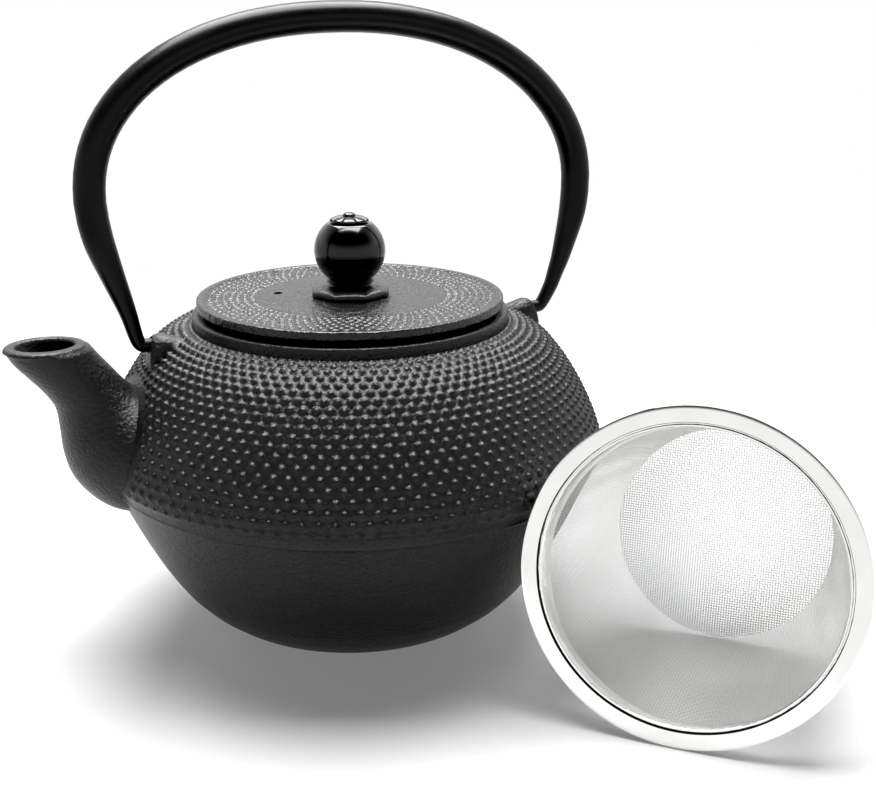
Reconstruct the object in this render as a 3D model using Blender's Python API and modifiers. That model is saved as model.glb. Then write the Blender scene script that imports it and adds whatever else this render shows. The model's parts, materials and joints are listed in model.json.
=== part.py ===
"""Cast iron teapot: hobnail body with a spout, swinging bail handle, lid with a turned knob, basket infuser.

Metres, +Z up. The pot stands on its flat base at the origin and the spout points to -X.
The handle turns about the line through both lugs, parallel to X. The infuser lies on its
side on the floor beside the pot. Pieces that touch are 0.3 mm apart.
"""

import math

import bmesh
import bpy
from mathutils import Vector

MM = 0.001
GAP = 0.3 * MM

BODY_RADIUS = 82.2 * MM
BASE_RADIUS = 33.0 * MM
SEAM_Z = 60.0 * MM
SEAM_NOTCH_RADIUS = 81.5 * MM
COLLAR_RADIUS = 51.0 * MM
COLLAR_TOP = 106.0 * MM
MOUTH_RADIUS = 44.6 * MM
COLLAR_FOOT = 102.6 * MM

SHOULDER = [
    (53.5, 101.8),
    (56.2, 100.8),
    (58.8, 99.4),
    (61.1, 98.0),
    (63.3, 96.4),
    (65.2, 94.6),
    (67.1, 92.4),
    (68.9, 90.2),
    (70.7, 87.7),
    (72.5, 84.9),
    (74.2, 82.1),
    (75.8, 79.2),
    (77.3, 76.2),
    (78.7, 73.1),
    (80.0, 69.9),
    (81.1, 66.7),
    (81.8, 63.4),
]
BOWL = [
    (80.9, 58.6),
    (79.4, 55.0),
    (77.7, 51.3),
    (74.6, 44.2),
    (71.2, 37.0),
    (67.7, 30.2),
    (63.9, 23.6),
    (59.7, 17.4),
    (54.7, 11.8),
    (48.7, 7.0),
    (42.0, 3.3),
    (36.8, 1.2),
]
CAVITY = [
    (46.2, 101.3),
    (52.4, 99.0),
    (58.2, 95.6),
    (63.0, 91.4),
    (67.4, 86.2),
    (71.3, 80.2),
    (74.7, 73.6),
    (77.4, 66.8),
    (78.9, 60.5),
    (77.4, 55.8),
    (74.6, 50.6),
    (71.7, 45.2),
    (68.4, 38.4),
    (64.9, 31.8),
    (61.2, 25.4),
    (57.2, 19.6),
    (52.6, 14.4),
    (47.2, 9.9),
    (40.8, 6.4),
    (33.0, 4.2),
]

# Each spout section: outer point (x, z), inner point (x, z), half width across.
SPOUT = [
    (-108.8, 103.4, -84.2, 103.4, 11.2),
    (-105.0, 98.8, -81.0, 99.0, 11.3),
    (-101.0, 94.2, -77.8, 95.0, 11.5),
    (-97.4, 89.4, -75.0, 91.4, 11.9),
    (-95.1, 83.6, -72.4, 88.6, 12.8),
    (-94.3, 76.8, -70.2, 87.2, 14.2),
    (-93.8, 69.2, -68.2, 86.6, 16.2),
    (-91.9, 61.8, -66.6, 86.4, 18.4),
    (-87.4, 55.2, -65.4, 86.4, 20.6),
    (-81.2, 50.2, -64.2, 86.4, 22.0),
    (-72.5, 47.0, -60.0, 86.0, 22.6),
]
SPOUT_LIP = 4.0 * MM
SPOUT_WALL = 3.4 * MM

LUG_HALF_WIDTH = 4.6 * MM
LUG_FACE_X = 66.0 * MM
LUG_SIDE = [
    (50.0, 96.0),
    (50.0, 102.4),
    (56.0, 103.5),
    (62.6, 103.9),
    (65.0, 103.0),
    (66.0, 100.8),
    (66.0, 93.0),
    (66.0, 89.0),
]
PEG_Z = 100.2 * MM
PEG_HOLE_RADIUS = 2.5 * MM
PEG_HOLE_END_X = 59.2 * MM

HANDLE_RADIUS = 4.75 * MM
ARCH_HALF_WIDTH = 80.3 * MM
ARCH_SPRING_Z = 145.0 * MM
ARCH_TOP_Z = 196.2 * MM
ARCH_POWER = 2.12
# Lower arm, from the peg up to where the arch springs: x, z, tube radius.
HANDLE_ARM = [
    (60.0, 100.2, 2.1),
    (66.6, 100.2, 2.1),
    (68.0, 100.5, 2.15),
    (69.0, 101.6, 2.2),
    (69.6, 103.4, 2.25),
    (70.4, 106.6, 2.35),
    (71.7, 111.0, 2.65),
    (73.4, 116.0, 3.05),
    (75.2, 121.5, 3.55),
    (77.0, 127.0, 4.05),
    (78.6, 132.5, 4.5),
    (79.7, 137.5, 4.75),
    (80.2, 141.5, 4.75),
]

LID_RADIUS = 49.4 * MM
LID_TOP = 110.2 * MM
LID_RIM_TOP = 110.6 * MM
LID_UNDER = 107.6 * MM
LID_SKIRT_RADIUS = 42.4 * MM
LID_SKIRT_BOTTOM = 101.0 * MM
VENT_PLACE = (-21.3 * MM, 10.6 * MM)
VENT_RADIUS = 1.5 * MM

BASE_FLATS = 24.6 * MM
BASE_THICKNESS = 2.7 * MM
NECK_TOP = 117.3 * MM
BALL_RADIUS = 10.9 * MM
BALL_Z = 125.6 * MM
BALL_BOTTOM = NECK_TOP + GAP
BALL_TOP = 133.9 * MM
ROSETTE_RADIUS = 6.3 * MM
ROSETTE_THICKNESS = 2.0 * MM
KNOB_TURN = math.radians(-108.5)
SCREW_RADIUS = 1.45 * MM
SCREW_HOLE_RADIUS = 1.75 * MM
SCREW_HEAD_RADIUS = 2.1 * MM
SCREW_END = 103.8 * MM
WASHER_RADIUS = 4.5 * MM
WASHER_THICKNESS = 0.7 * MM
NUT_FLATS = 5.5 * MM
NUT_THICKNESS = 2.1 * MM

INFUSER_PLACE = Vector((59.4, -113.6, 48.2)) * MM
INFUSER_HEADING = math.radians(-132.9)
INFUSER_TILT = math.radians(11.42)
RIM_RADIUS = 48.9 * MM
RIM_HOLE_RADIUS = 43.9 * MM
RIM_THICKNESS = 1.1 * MM
BAND_RADIUS = 43.6 * MM
BAND_DEPTH = 7.0 * MM
BASKET_TOP_RADIUS = 42.6 * MM
BASKET_FOOT_RADIUS = 34.85 * MM
BASKET_DEPTH = 69.4 * MM
MESH_THICKNESS = 0.4 * MM


def clear_scene():
    for obj in list(bpy.data.objects):
        bpy.data.objects.remove(obj, do_unlink=True)


def new_collection(name):
    collection = bpy.data.collections.new(name)
    bpy.context.scene.collection.children.link(collection)
    return collection


clear_scene()
TEAPOT = new_collection("cast_iron_teapot")
CUTTERS = new_collection("cutters")
CUTTERS.hide_render = True


def material(name, color, metallic, roughness):
    made = bpy.data.materials.new(name)
    made.use_nodes = True
    shader = made.node_tree.nodes["Principled BSDF"]
    shader.inputs["Base Color"].default_value = (*color, 1.0)
    shader.inputs["Metallic"].default_value = metallic
    shader.inputs["Roughness"].default_value = roughness
    return made


def add(name, data, collection=TEAPOT, finish=None):
    obj = bpy.data.objects.new(name, data)
    collection.objects.link(obj)
    if finish:
        data.materials.append(finish)
    if collection is CUTTERS:
        obj.hide_render = True
        obj.display_type = "WIRE"
    return obj


def mesh_from(name, points, faces, edges=()):
    mesh = bpy.data.meshes.new(name)
    mesh.from_pydata([tuple(p) for p in points], list(edges), faces)
    mesh.update()
    return mesh


def turned(name, profile, steps, collection=TEAPOT, finish=None, ring=False):
    """A solid turned about Z from (radius, height) points. A ring profile is a closed loop."""
    points = [(r, 0.0, z) for r, z in profile]
    edges = [(i, i + 1) for i in range(len(points) - 1)]
    if ring:
        edges.append((len(points) - 1, 0))
    obj = add(name, mesh_from(name, points, [], edges), collection, finish)
    screw = obj.modifiers.new("Turn", "SCREW")
    screw.axis = "Z"
    screw.steps = steps
    screw.render_steps = steps
    screw.use_merge_vertices = True
    screw.merge_threshold = 0.00001
    screw.use_smooth_shade = True
    return obj


def loft(name, sections, collection, finish=None):
    """A closed solid through a row of equal-sized rings of points."""
    count = len(sections[0])
    points = [p for ring in sections for p in ring]
    faces = [list(range(count))[::-1]]
    for i in range(len(sections) - 1):
        a = i * count
        b = a + count
        for j in range(count):
            k = (j + 1) % count
            faces.append([a + j, a + k, b + k, b + j])
    last = (len(sections) - 1) * count
    faces.append([last + j for j in range(count)])
    mesh = mesh_from(name, points, faces)
    work = bmesh.new()
    work.from_mesh(mesh)
    bmesh.ops.recalc_face_normals(work, faces=work.faces)
    work.to_mesh(mesh)
    work.free()
    return add(name, mesh, collection, finish)


def rod(name, radius, start, end, segments=24, collection=CUTTERS):
    """A round bar between two points."""
    axis = (Vector(end) - Vector(start)).normalized()
    side = axis.orthogonal().normalized()
    up = axis.cross(side)
    rings = []
    for centre in (Vector(start), Vector(end)):
        ring = []
        for j in range(segments):
            a = 2 * math.pi * j / segments
            ring.append(centre + radius * (math.cos(a) * side + math.sin(a) * up))
        rings.append(ring)
    return loft(name, rings, collection)


def boolean(target, tool, operation):
    step = target.modifiers.new(operation.title() + " " + tool.name, "BOOLEAN")
    step.operation = operation
    step.solver = "EXACT"
    step.object = tool
    return step


def mm_points(rows):
    return [(r * MM, z * MM) for r, z in rows]


def outline_prism(name, outline, low, high, collection, finish=None):
    """A flat outline (x, y) raised from one height to another."""
    rings = [[Vector((x, y, z)) for x, y in outline] for z in (low, high)]
    return loft(name, rings, collection, finish)


def polygon(sides, flats, turn):
    """Corners of a regular polygon with one flat facing the turn angle."""
    corner = flats / 2 / math.cos(math.pi / sides)
    angles = [turn + math.pi * (2 * i + 1) / sides for i in range(sides)]
    return [(corner * math.cos(a), corner * math.sin(a)) for a in angles]


def body_outer_profile():
    top = [
        (0.0, COLLAR_TOP),
        (COLLAR_RADIUS - 0.7 * MM, COLLAR_TOP),
        (COLLAR_RADIUS - 0.15 * MM, COLLAR_TOP - 0.4 * MM),
        (COLLAR_RADIUS, COLLAR_TOP - 1.0 * MM),
        (COLLAR_RADIUS, COLLAR_FOOT),
    ]
    seam = [(BODY_RADIUS, SEAM_Z + 0.6 * MM), (SEAM_NOTCH_RADIUS, SEAM_Z)]
    base = [(BASE_RADIUS, 0.0), (0.0, 0.0)]
    return top + mm_points(SHOULDER) + seam + mm_points(BOWL) + base


def cavity_profile():
    mouth = [
        (0.0, COLLAR_TOP + 6 * MM),
        (MOUTH_RADIUS, COLLAR_TOP + 6 * MM),
        (MOUTH_RADIUS, 102.2 * MM),
    ]
    return mouth + mm_points(CAVITY) + [(0.0, 3.6 * MM)]


def ellipse(centre, reach, across, count=28):
    ring = []
    for j in range(count):
        a = 2 * math.pi * j / count
        ring.append(centre + math.cos(a) * reach + math.sin(a) * across)
    return ring


def spout_sections(inset_ends, inset_sides, stretch):
    """Elliptical sections, each inset from the outer and inner points by the wall."""
    rings = []
    for i, (xo, zo, xi, zi, half) in enumerate(SPOUT):
        outer = Vector((xo, 0.0, zo)) * MM
        inner = Vector((xi, 0.0, zi)) * MM
        centre = (outer + inner) / 2
        reach = (outer - centre) * (1 - inset_ends / (outer - centre).length)
        across = Vector((0.0, half * MM - inset_sides, 0.0))
        if stretch and i == 0:
            rings.append(ellipse(centre + Vector((-4, 0, 5)) * MM, reach * 1.05, across * 1.05))
        rings.append(ellipse(centre, reach, across))
    if stretch:
        rings.append(ellipse(Vector((-45, 0, 64)) * MM, reach * 0.8, across * 0.8))
    return rings


def lug(side, name):
    """One handle lug: its side outline raised across the handle plane."""
    rings = []
    for y, shrink in ((-1.0, 0.7), (-0.85, 0.0), (0.85, 0.0), (1.0, 0.7)):
        ring = []
        for x, z in LUG_SIDE:
            top = z > 99.0
            lowered = z - shrink if top else z
            pulled = x - shrink if x > 60.0 else x
            ring.append(Vector((side * pulled * MM, y * LUG_HALF_WIDTH, lowered * MM)))
        rings.append(ring)
    return loft(name, rings, CUTTERS)


def build_pot_body(iron):
    body = turned("pot_body", body_outer_profile(), 60, TEAPOT, iron)
    boolean(body, loft("spout_shape", spout_sections(0.0, 0.0, False), CUTTERS), "UNION")
    boolean(body, lug(1, "lug_shape_plus"), "UNION")
    boolean(body, lug(-1, "lug_shape_minus"), "UNION")
    boolean(body, turned("cavity_shape", cavity_profile(), 60, CUTTERS), "DIFFERENCE")
    channel = loft("channel_shape", spout_sections(SPOUT_LIP, SPOUT_WALL, True), CUTTERS)
    boolean(body, channel, "DIFFERENCE")
    for side, name in ((1, "hole_plus"), (-1, "hole_minus")):
        start = (side * PEG_HOLE_END_X, 0.0, PEG_Z)
        end = (side * (LUG_FACE_X + 3 * MM), 0.0, PEG_Z)
        boolean(body, rod(name, PEG_HOLE_RADIUS, start, end), "DIFFERENCE")
    return body


def arch_points(count):
    """Right half of the arch from its spring to the top, as (x, z)."""
    rows = []
    rise = ARCH_TOP_Z - ARCH_SPRING_Z
    for i in range(count + 1):
        a = math.pi / 2 * i / count
        x = ARCH_HALF_WIDTH * math.cos(a) ** (2 / ARCH_POWER)
        z = ARCH_SPRING_Z + rise * math.sin(a) ** (2 / ARCH_POWER)
        rows.append((x, z))
    return rows


def build_handle(black):
    """The bail: one tube whose origin is on the line through the pegs."""
    right = [(x * MM, z * MM, r * MM) for x, z, r in HANDLE_ARM]
    right += [(x, z, HANDLE_RADIUS) for x, z in arch_points(18)]
    right[-1] = (0.0, ARCH_TOP_Z, HANDLE_RADIUS)
    left = [(-x, z, r) for x, z, r in right[-2::-1]]
    path = right + left
    curve = bpy.data.curves.new("handle", "CURVE")
    curve.dimensions = "3D"
    curve.bevel_depth = 1.0
    curve.bevel_resolution = 4
    curve.use_fill_caps = True
    curve.twist_mode = "MINIMUM"
    spline = curve.splines.new("POLY")
    spline.points.add(len(path) - 1)
    for point, (x, z, radius) in zip(spline.points, path):
        point.co = (x, 0.0, z - PEG_Z, 1.0)
        point.radius = radius
    handle = add("handle", curve, TEAPOT, black)
    handle.location = (0.0, 0.0, PEG_Z)
    return handle


def build_lid(iron):
    profile = [
        (SCREW_HOLE_RADIUS, LID_TOP),
        (LID_RADIUS - 3.1 * MM, LID_TOP),
        (LID_RADIUS - 2.7 * MM, LID_RIM_TOP),
        (LID_RADIUS - 0.4 * MM, LID_RIM_TOP),
        (LID_RADIUS, LID_TOP),
        (LID_RADIUS, 108.6 * MM),
        (LID_RADIUS - 0.4 * MM, 108.2 * MM),
        (LID_RADIUS - 1.8 * MM, 106.6 * MM),
        (LID_RADIUS - 2.2 * MM, COLLAR_TOP + GAP),
        (LID_SKIRT_RADIUS, COLLAR_TOP + GAP),
        (LID_SKIRT_RADIUS, LID_SKIRT_BOTTOM),
        (LID_SKIRT_RADIUS - 1.8 * MM, LID_SKIRT_BOTTOM),
        (LID_SKIRT_RADIUS - 1.8 * MM, LID_UNDER),
        (SCREW_HOLE_RADIUS, LID_UNDER),
    ]
    lid = turned("lid", profile, 60, TEAPOT, iron, ring=True)
    x, y = VENT_PLACE
    vent = rod("vent", VENT_RADIUS, (x, y, LID_UNDER - 2 * MM), (x, y, LID_TOP + 2 * MM))
    boolean(lid, vent, "DIFFERENCE")
    return lid


def build_knob_base(black):
    """Eight-sided foot with a short round neck, bored for the screw."""
    low = LID_TOP + GAP
    outline = polygon(8, BASE_FLATS, KNOB_TURN)
    top = polygon(8, BASE_FLATS - 1.6 * MM, KNOB_TURN)
    rings = [[Vector((x, y, low)) for x, y in outline]]
    rings.append([Vector((x, y, low + BASE_THICKNESS - 0.8 * MM)) for x, y in outline])
    rings.append([Vector((x, y, low + BASE_THICKNESS)) for x, y in top])
    base = loft("knob_base", rings, TEAPOT, black)
    neck_profile = [
        (0.0, NECK_TOP),
        (7.2 * MM, NECK_TOP),
        (7.5 * MM, NECK_TOP - 0.4 * MM),
        (7.5 * MM, NECK_TOP - 1.6 * MM),
        (8.4 * MM, low + BASE_THICKNESS + 0.3 * MM),
        (9.0 * MM, low + BASE_THICKNESS - 1.0 * MM),
        (0.0, low + BASE_THICKNESS - 1.0 * MM),
    ]
    boolean(base, turned("neck_shape", neck_profile, 40, CUTTERS), "UNION")
    bore = rod("neck_bore", SCREW_HOLE_RADIUS, (0, 0, low - MM), (0, 0, NECK_TOP + MM))
    boolean(base, bore, "DIFFERENCE")
    return base


def build_knob_ball(black):
    """The ball grip, flattened where it meets the neck and the rosette."""
    low = math.asin((BALL_BOTTOM - BALL_Z) / BALL_RADIUS)
    high = math.asin((BALL_TOP - BALL_Z) / BALL_RADIUS)
    profile = [(SCREW_HOLE_RADIUS, BALL_TOP)]
    for i in range(17):
        a = high + (low - high) * i / 16
        profile.append((BALL_RADIUS * math.cos(a), BALL_Z + BALL_RADIUS * math.sin(a)))
    profile.append((SCREW_HOLE_RADIUS, BALL_BOTTOM))
    return turned("knob_ball", profile, 40, TEAPOT, black, ring=True)


def build_knob_rosette(black):
    """Eight petals round the screw, each a rounded lobe."""
    low = BALL_TOP + GAP
    rings = []
    for height, scale in ((0.0, 0.97), (0.6, 1.0), (0.75, 0.86), (1.0, 0.5)):
        ring = []
        for j in range(64):
            a = 2 * math.pi * j / 64
            lobe = ROSETTE_RADIUS * (0.88 + 0.12 * abs(math.cos(4 * a)) ** 0.6)
            x = scale * lobe * math.cos(a + KNOB_TURN)
            y = scale * lobe * math.sin(a + KNOB_TURN)
            ring.append(Vector((x, y, low + height * ROSETTE_THICKNESS)))
        rings.append(ring)
    rosette = loft("knob_rosette", rings, TEAPOT, black)
    bore = rod("rosette_bore", SCREW_HOLE_RADIUS, (0, 0, low - MM), (0, 0, low + 4 * MM))
    boolean(rosette, bore, "DIFFERENCE")
    return rosette


def build_knob_screw(black):
    """Round-headed screw that holds the knob pieces down on the lid."""
    under = BALL_TOP + GAP + ROSETTE_THICKNESS + GAP
    profile = [
        (0.0, under + 1.7 * MM),
        (0.9 * MM, under + 1.55 * MM),
        (1.6 * MM, under + 1.1 * MM),
        (SCREW_HEAD_RADIUS, under + 0.4 * MM),
        (SCREW_HEAD_RADIUS, under),
        (SCREW_RADIUS, under),
        (SCREW_RADIUS, SCREW_END),
        (0.0, SCREW_END),
    ]
    return turned("knob_screw", profile, 24, TEAPOT, black)


def build_washer_and_nut(steel):
    top = LID_UNDER - GAP
    bottom = top - WASHER_THICKNESS
    profile = [
        (SCREW_HOLE_RADIUS, top),
        (WASHER_RADIUS, top),
        (WASHER_RADIUS, bottom),
        (SCREW_HOLE_RADIUS, bottom),
    ]
    turned("lid_washer", profile, 32, TEAPOT, steel, ring=True)
    high = bottom - GAP
    low = high - NUT_THICKNESS
    nut = outline_prism("lid_nut", polygon(6, NUT_FLATS, 0.0), low, high, TEAPOT, steel)
    bore = rod("nut_bore", SCREW_HOLE_RADIUS, (0, 0, low - MM), (0, 0, high + MM))
    boolean(nut, bore, "DIFFERENCE")


def lay_on_side(obj):
    """Places an infuser piece: its own +Z is the way the basket mouth faces."""
    facing = Vector(
        (
            math.cos(INFUSER_HEADING) * math.cos(INFUSER_TILT),
            math.sin(INFUSER_HEADING) * math.cos(INFUSER_TILT),
            math.sin(INFUSER_TILT),
        )
    )
    obj.rotation_mode = "QUATERNION"
    obj.rotation_quaternion = facing.to_track_quat("Z", "Y")
    obj.location = INFUSER_PLACE


def build_infuser(steel, mesh_steel):
    rim = [
        (RIM_HOLE_RADIUS, 0.0),
        (RIM_RADIUS - 0.5 * MM, 0.0),
        (RIM_RADIUS - 0.12 * MM, -0.2 * MM),
        (RIM_RADIUS, -0.55 * MM),
        (RIM_RADIUS - 0.12 * MM, -0.9 * MM),
        (RIM_RADIUS - 0.5 * MM, -RIM_THICKNESS),
        (RIM_HOLE_RADIUS, -RIM_THICKNESS),
    ]
    band = [
        (BASKET_TOP_RADIUS + GAP, -0.2 * MM),
        (BAND_RADIUS, -0.2 * MM),
        (BAND_RADIUS, -BAND_DEPTH),
        (BASKET_TOP_RADIUS + GAP, -BAND_DEPTH),
    ]
    foot = -BASKET_DEPTH + MESH_THICKNESS
    wall = [
        (BASKET_TOP_RADIUS - MESH_THICKNESS, -1.2 * MM),
        (BASKET_TOP_RADIUS, -1.2 * MM),
        (BASKET_FOOT_RADIUS, -BASKET_DEPTH),
        (BASKET_FOOT_RADIUS - MESH_THICKNESS, -BASKET_DEPTH),
    ]
    disc_radius = BASKET_FOOT_RADIUS - MESH_THICKNESS - GAP
    disc = [(0.0, foot), (disc_radius, foot), (disc_radius, -BASKET_DEPTH), (0.0, -BASKET_DEPTH)]
    lay_on_side(turned("infuser_rim", rim, 60, TEAPOT, steel, ring=True))
    lay_on_side(turned("infuser_band", band, 60, TEAPOT, steel, ring=True))
    lay_on_side(turned("infuser_wall", wall, 60, TEAPOT, mesh_steel, ring=True))
    lay_on_side(turned("infuser_base", disc, 60, TEAPOT, mesh_steel))


def build_teapot():
    iron = material("cast_iron", (0.012, 0.012, 0.013), 0.35, 0.55)
    lid_iron = material("lid_iron", (0.05, 0.05, 0.052), 0.6, 0.4)
    satin = material("satin_black", (0.008, 0.008, 0.009), 0.2, 0.3)
    gloss = material("gloss_black", (0.004, 0.004, 0.005), 0.1, 0.12)
    steel = material("stainless_steel", (0.78, 0.78, 0.77), 1.0, 0.25)
    woven = material("steel_mesh", (0.62, 0.62, 0.62), 1.0, 0.35)
    build_pot_body(iron)
    build_handle(satin)
    build_lid(lid_iron)
    build_knob_base(gloss)
    build_knob_ball(gloss)
    build_knob_rosette(gloss)
    build_knob_screw(gloss)
    build_washer_and_nut(steel)
    build_infuser(steel, woven)


build_teapot()
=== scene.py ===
"""The looks of the cast iron teapot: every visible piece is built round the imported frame.

Lengths are in metres, +Z up, the spout towards -X. Sizes written as numbers times MM are the
piece's own; places and overall sizes are read from the frame.
"""

import json
import math

import bmesh
import bpy
import numpy as np
from mathutils import Matrix, Vector
from mathutils.bvhtree import BVHTree


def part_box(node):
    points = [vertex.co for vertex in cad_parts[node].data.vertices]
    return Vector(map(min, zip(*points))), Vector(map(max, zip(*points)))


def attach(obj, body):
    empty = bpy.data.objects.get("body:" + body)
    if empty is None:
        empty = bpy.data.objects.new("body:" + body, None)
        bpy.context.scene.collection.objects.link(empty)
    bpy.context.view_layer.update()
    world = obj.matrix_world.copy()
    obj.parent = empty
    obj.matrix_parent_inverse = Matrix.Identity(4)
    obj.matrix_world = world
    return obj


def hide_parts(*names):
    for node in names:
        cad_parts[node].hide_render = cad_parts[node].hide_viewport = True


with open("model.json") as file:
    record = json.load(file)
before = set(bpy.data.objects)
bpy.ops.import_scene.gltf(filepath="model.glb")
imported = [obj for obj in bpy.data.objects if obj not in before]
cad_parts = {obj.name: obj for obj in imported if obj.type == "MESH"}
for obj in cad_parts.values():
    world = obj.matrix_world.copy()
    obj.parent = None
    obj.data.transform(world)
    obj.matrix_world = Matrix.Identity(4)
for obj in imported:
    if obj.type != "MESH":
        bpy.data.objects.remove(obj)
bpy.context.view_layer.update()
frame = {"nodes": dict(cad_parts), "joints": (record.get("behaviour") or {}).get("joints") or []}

MM = 0.001
TAU = 2 * math.pi

# Studio brightness, as radiance: on the camera's side, in the upper backdrop, and in the band
# along the horizon on the camera's side.
FRONT_GLOW = 0.1
BACK_GLOW = 1.5
BAND_GLOW = 1.12

# The floor's base colour, and its painted light: the floor glows, most under the pot to lighten the pot's
# shadow there, and less further out.
FLOOR_TONE = 0.42
NEAR_FLOOR_PAINTED_GLOW = 0.22
FAR_FLOOR_PAINTED_GLOW = 0.09

# Scene values at or below this come out black.
BLACK_LEVEL = 0.01

# Hobnail rows on the shoulder.
COLUMNS = 109
ROWS = 20
COARSE_ROWS = 7
FIRST_ROW_STEP = 2.72
LAST_ROW_STEP = 3.42
BUMP_RADIUS = 1.36 * MM
BUMP_HEIGHT = 0.92 * MM
GROOVE_DEPTH = 0.5 * MM

# The pot: its shoulder's lower seam, its mouth, how far out the lugs stand, the spout's wall.
SEAM_HEIGHT = 60 * MM
MOUTH_RADIUS = 44.6 * MM
LUG_FACE = 66 * MM
SPOUT_WALL = 3.7 * MM

# The spout: outer point (x, z), inner point (x, z), half width across, in mm.
SPOUT = [
    (-108.8, 103.4, -84.2, 103.4, 11.2),
    (-106.2, 98.6, -81.0, 99.0, 11.3),
    (-102.2, 93.8, -77.8, 95.0, 11.5),
    (-98.2, 89.0, -75.0, 91.4, 11.9),
    (-95.1, 83.6, -72.4, 88.6, 12.8),
    (-94.3, 76.8, -70.2, 87.2, 14.2),
    (-93.8, 69.2, -68.2, 86.6, 16.2),
    (-91.9, 61.8, -66.6, 86.4, 18.4),
    (-87.4, 55.2, -65.4, 86.4, 20.6),
    (-81.2, 50.2, -64.2, 86.4, 22.0),
    (-72.5, 47.0, -60.0, 86.0, 22.6),
]


# ---- mesh helpers


def new_object(name, data):
    obj = bpy.data.objects.new(name, data)
    bpy.context.scene.collection.objects.link(obj)
    return obj


class Shell:
    """Points and faces of one mesh, added ring by ring."""

    def __init__(self):
        self.points = []
        self.faces = []

    def point(self, place):
        self.points.append(tuple(place))
        return len(self.points) - 1

    def ring(self, radius, height, columns, turn=0.0):
        angles = [TAU * k / columns + turn for k in range(columns)]
        return [self.point((radius * math.cos(a), radius * math.sin(a), height)) for a in angles]

    def band(self, upper, lower):
        """Quads between two equal closed rings."""
        count = len(upper)
        for k in range(count):
            n = (k + 1) % count
            self.faces.append((upper[k], upper[n], lower[n], lower[k]))

    def turned(self, profile, columns, first=None):
        """Rings along a (radius, height) profile, after one that may already exist."""
        rings = [self.ring(r, z, columns) for r, z in profile]
        if first:
            rings.insert(0, first)
        self.skin(rings)
        return rings

    def skin(self, rings, closed=False):
        """Quads between each ring and the next and, if closed, from the last to the first."""
        for upper, lower in zip(rings, rings[1:]):
            self.band(upper, lower)
        if closed:
            self.band(rings[-1], rings[0])

    def object(self, name, finish=None):
        mesh = bpy.data.meshes.new(name)
        mesh.from_pydata(self.points, [], self.faces)
        work = bmesh.new()
        work.from_mesh(mesh)
        bmesh.ops.recalc_face_normals(work, faces=work.faces)
        work.to_mesh(mesh)
        work.free()
        if finish:
            mesh.materials.append(finish)
        return new_object(name, mesh)


def smooth(obj, angle):
    obj.data.shade_smooth()
    obj.data.set_sharp_from_angle(angle=math.radians(angle))
    return obj


def turned_solid(name, profile, columns, finish=None):
    """A closed solid from a profile that starts and ends on the axis, or a closed ring profile."""
    shell = Shell()
    on_axis = profile[0][0] < 1e-7
    inner = profile[1:-1] if on_axis else profile
    rings = shell.turned(inner, columns)
    if on_axis:
        for ring, height in ((rings[0], profile[0][1]), (rings[-1], profile[-1][1])):
            tip = shell.point((0.0, 0.0, height))
            for k in range(columns):
                shell.faces.append((ring[k], ring[(k + 1) % columns], tip))
    else:
        shell.band(rings[-1], rings[0])
    return shell.object(name, finish)


def evaluated_mesh(obj):
    graph = bpy.context.evaluated_depsgraph_get()
    return bpy.data.meshes.new_from_object(obj.evaluated_get(graph), depsgraph=graph)


def combine(target, tool, operation):
    """A Boolean of two closed meshes, applied, after which the tool is gone."""
    step = target.modifiers.new(operation, "BOOLEAN")
    step.operation = operation
    step.solver = "MANIFOLD"
    step.object = tool
    mesh = evaluated_mesh(target)
    target.modifiers.clear()
    target.data = mesh
    bpy.data.objects.remove(tool, do_unlink=True)


def spline(rows, count):
    """Points along a smooth curve through the rows (Catmull-Rom)."""
    rows = np.array(rows, float)
    ends = np.vstack([2 * rows[0] - rows[1], rows, 2 * rows[-1] - rows[-2]])
    made = []
    for t in np.linspace(0, len(rows) - 1, count):
        i = min(int(t), len(rows) - 2)
        u = t - i
        a, b, c, d = ends[i : i + 4]
        bend = (2 * a - 5 * b + 4 * c - d) * u**2 + (3 * b - a - 3 * c + d) * u**3
        made.append((2 * b + (c - a) * u + bend) / 2)
    return np.array(made)


def round_corner(corner, before, after, radius, count=4):
    """Points that replace a profile's corner by an arc-like curve."""
    corner, before, after = (Vector(p) for p in (corner, before, after))
    start = corner + (before - corner).normalized() * radius
    end = corner + (after - corner).normalized() * radius
    made = []
    for i in range(count + 1):
        t = i / count
        made.append(tuple(start * (1 - t) ** 2 + corner * 2 * t * (1 - t) + end * t**2))
    return made


def loft(name, rings):
    """A closed solid through the rings, capped at both ends."""
    shell = Shell()
    made = [[shell.point(p) for p in ring] for ring in rings]
    shell.skin(made)
    shell.faces.append(tuple(made[0]))
    shell.faces.append(tuple(made[-1]))
    return shell.object(name)


# ---- the frame's own shapes


def refinish(obj, *finishes):
    obj.data.materials.clear()
    for finish in finishes:
        obj.data.materials.append(finish)


def stand_for(piece, body, node):
    """The piece moves with a body and takes a frame node's place and finish."""
    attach(piece, body)
    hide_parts(node)


def peg_height():
    return next(j["pos_m"][2] for j in frame["joints"] if j["name"] == "handle_swing")


def tree_of(node):
    mesh = frame["nodes"][node].data
    return BVHTree.FromPolygons([v.co for v in mesh.vertices], [p.vertices for p in mesh.polygons])


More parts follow.
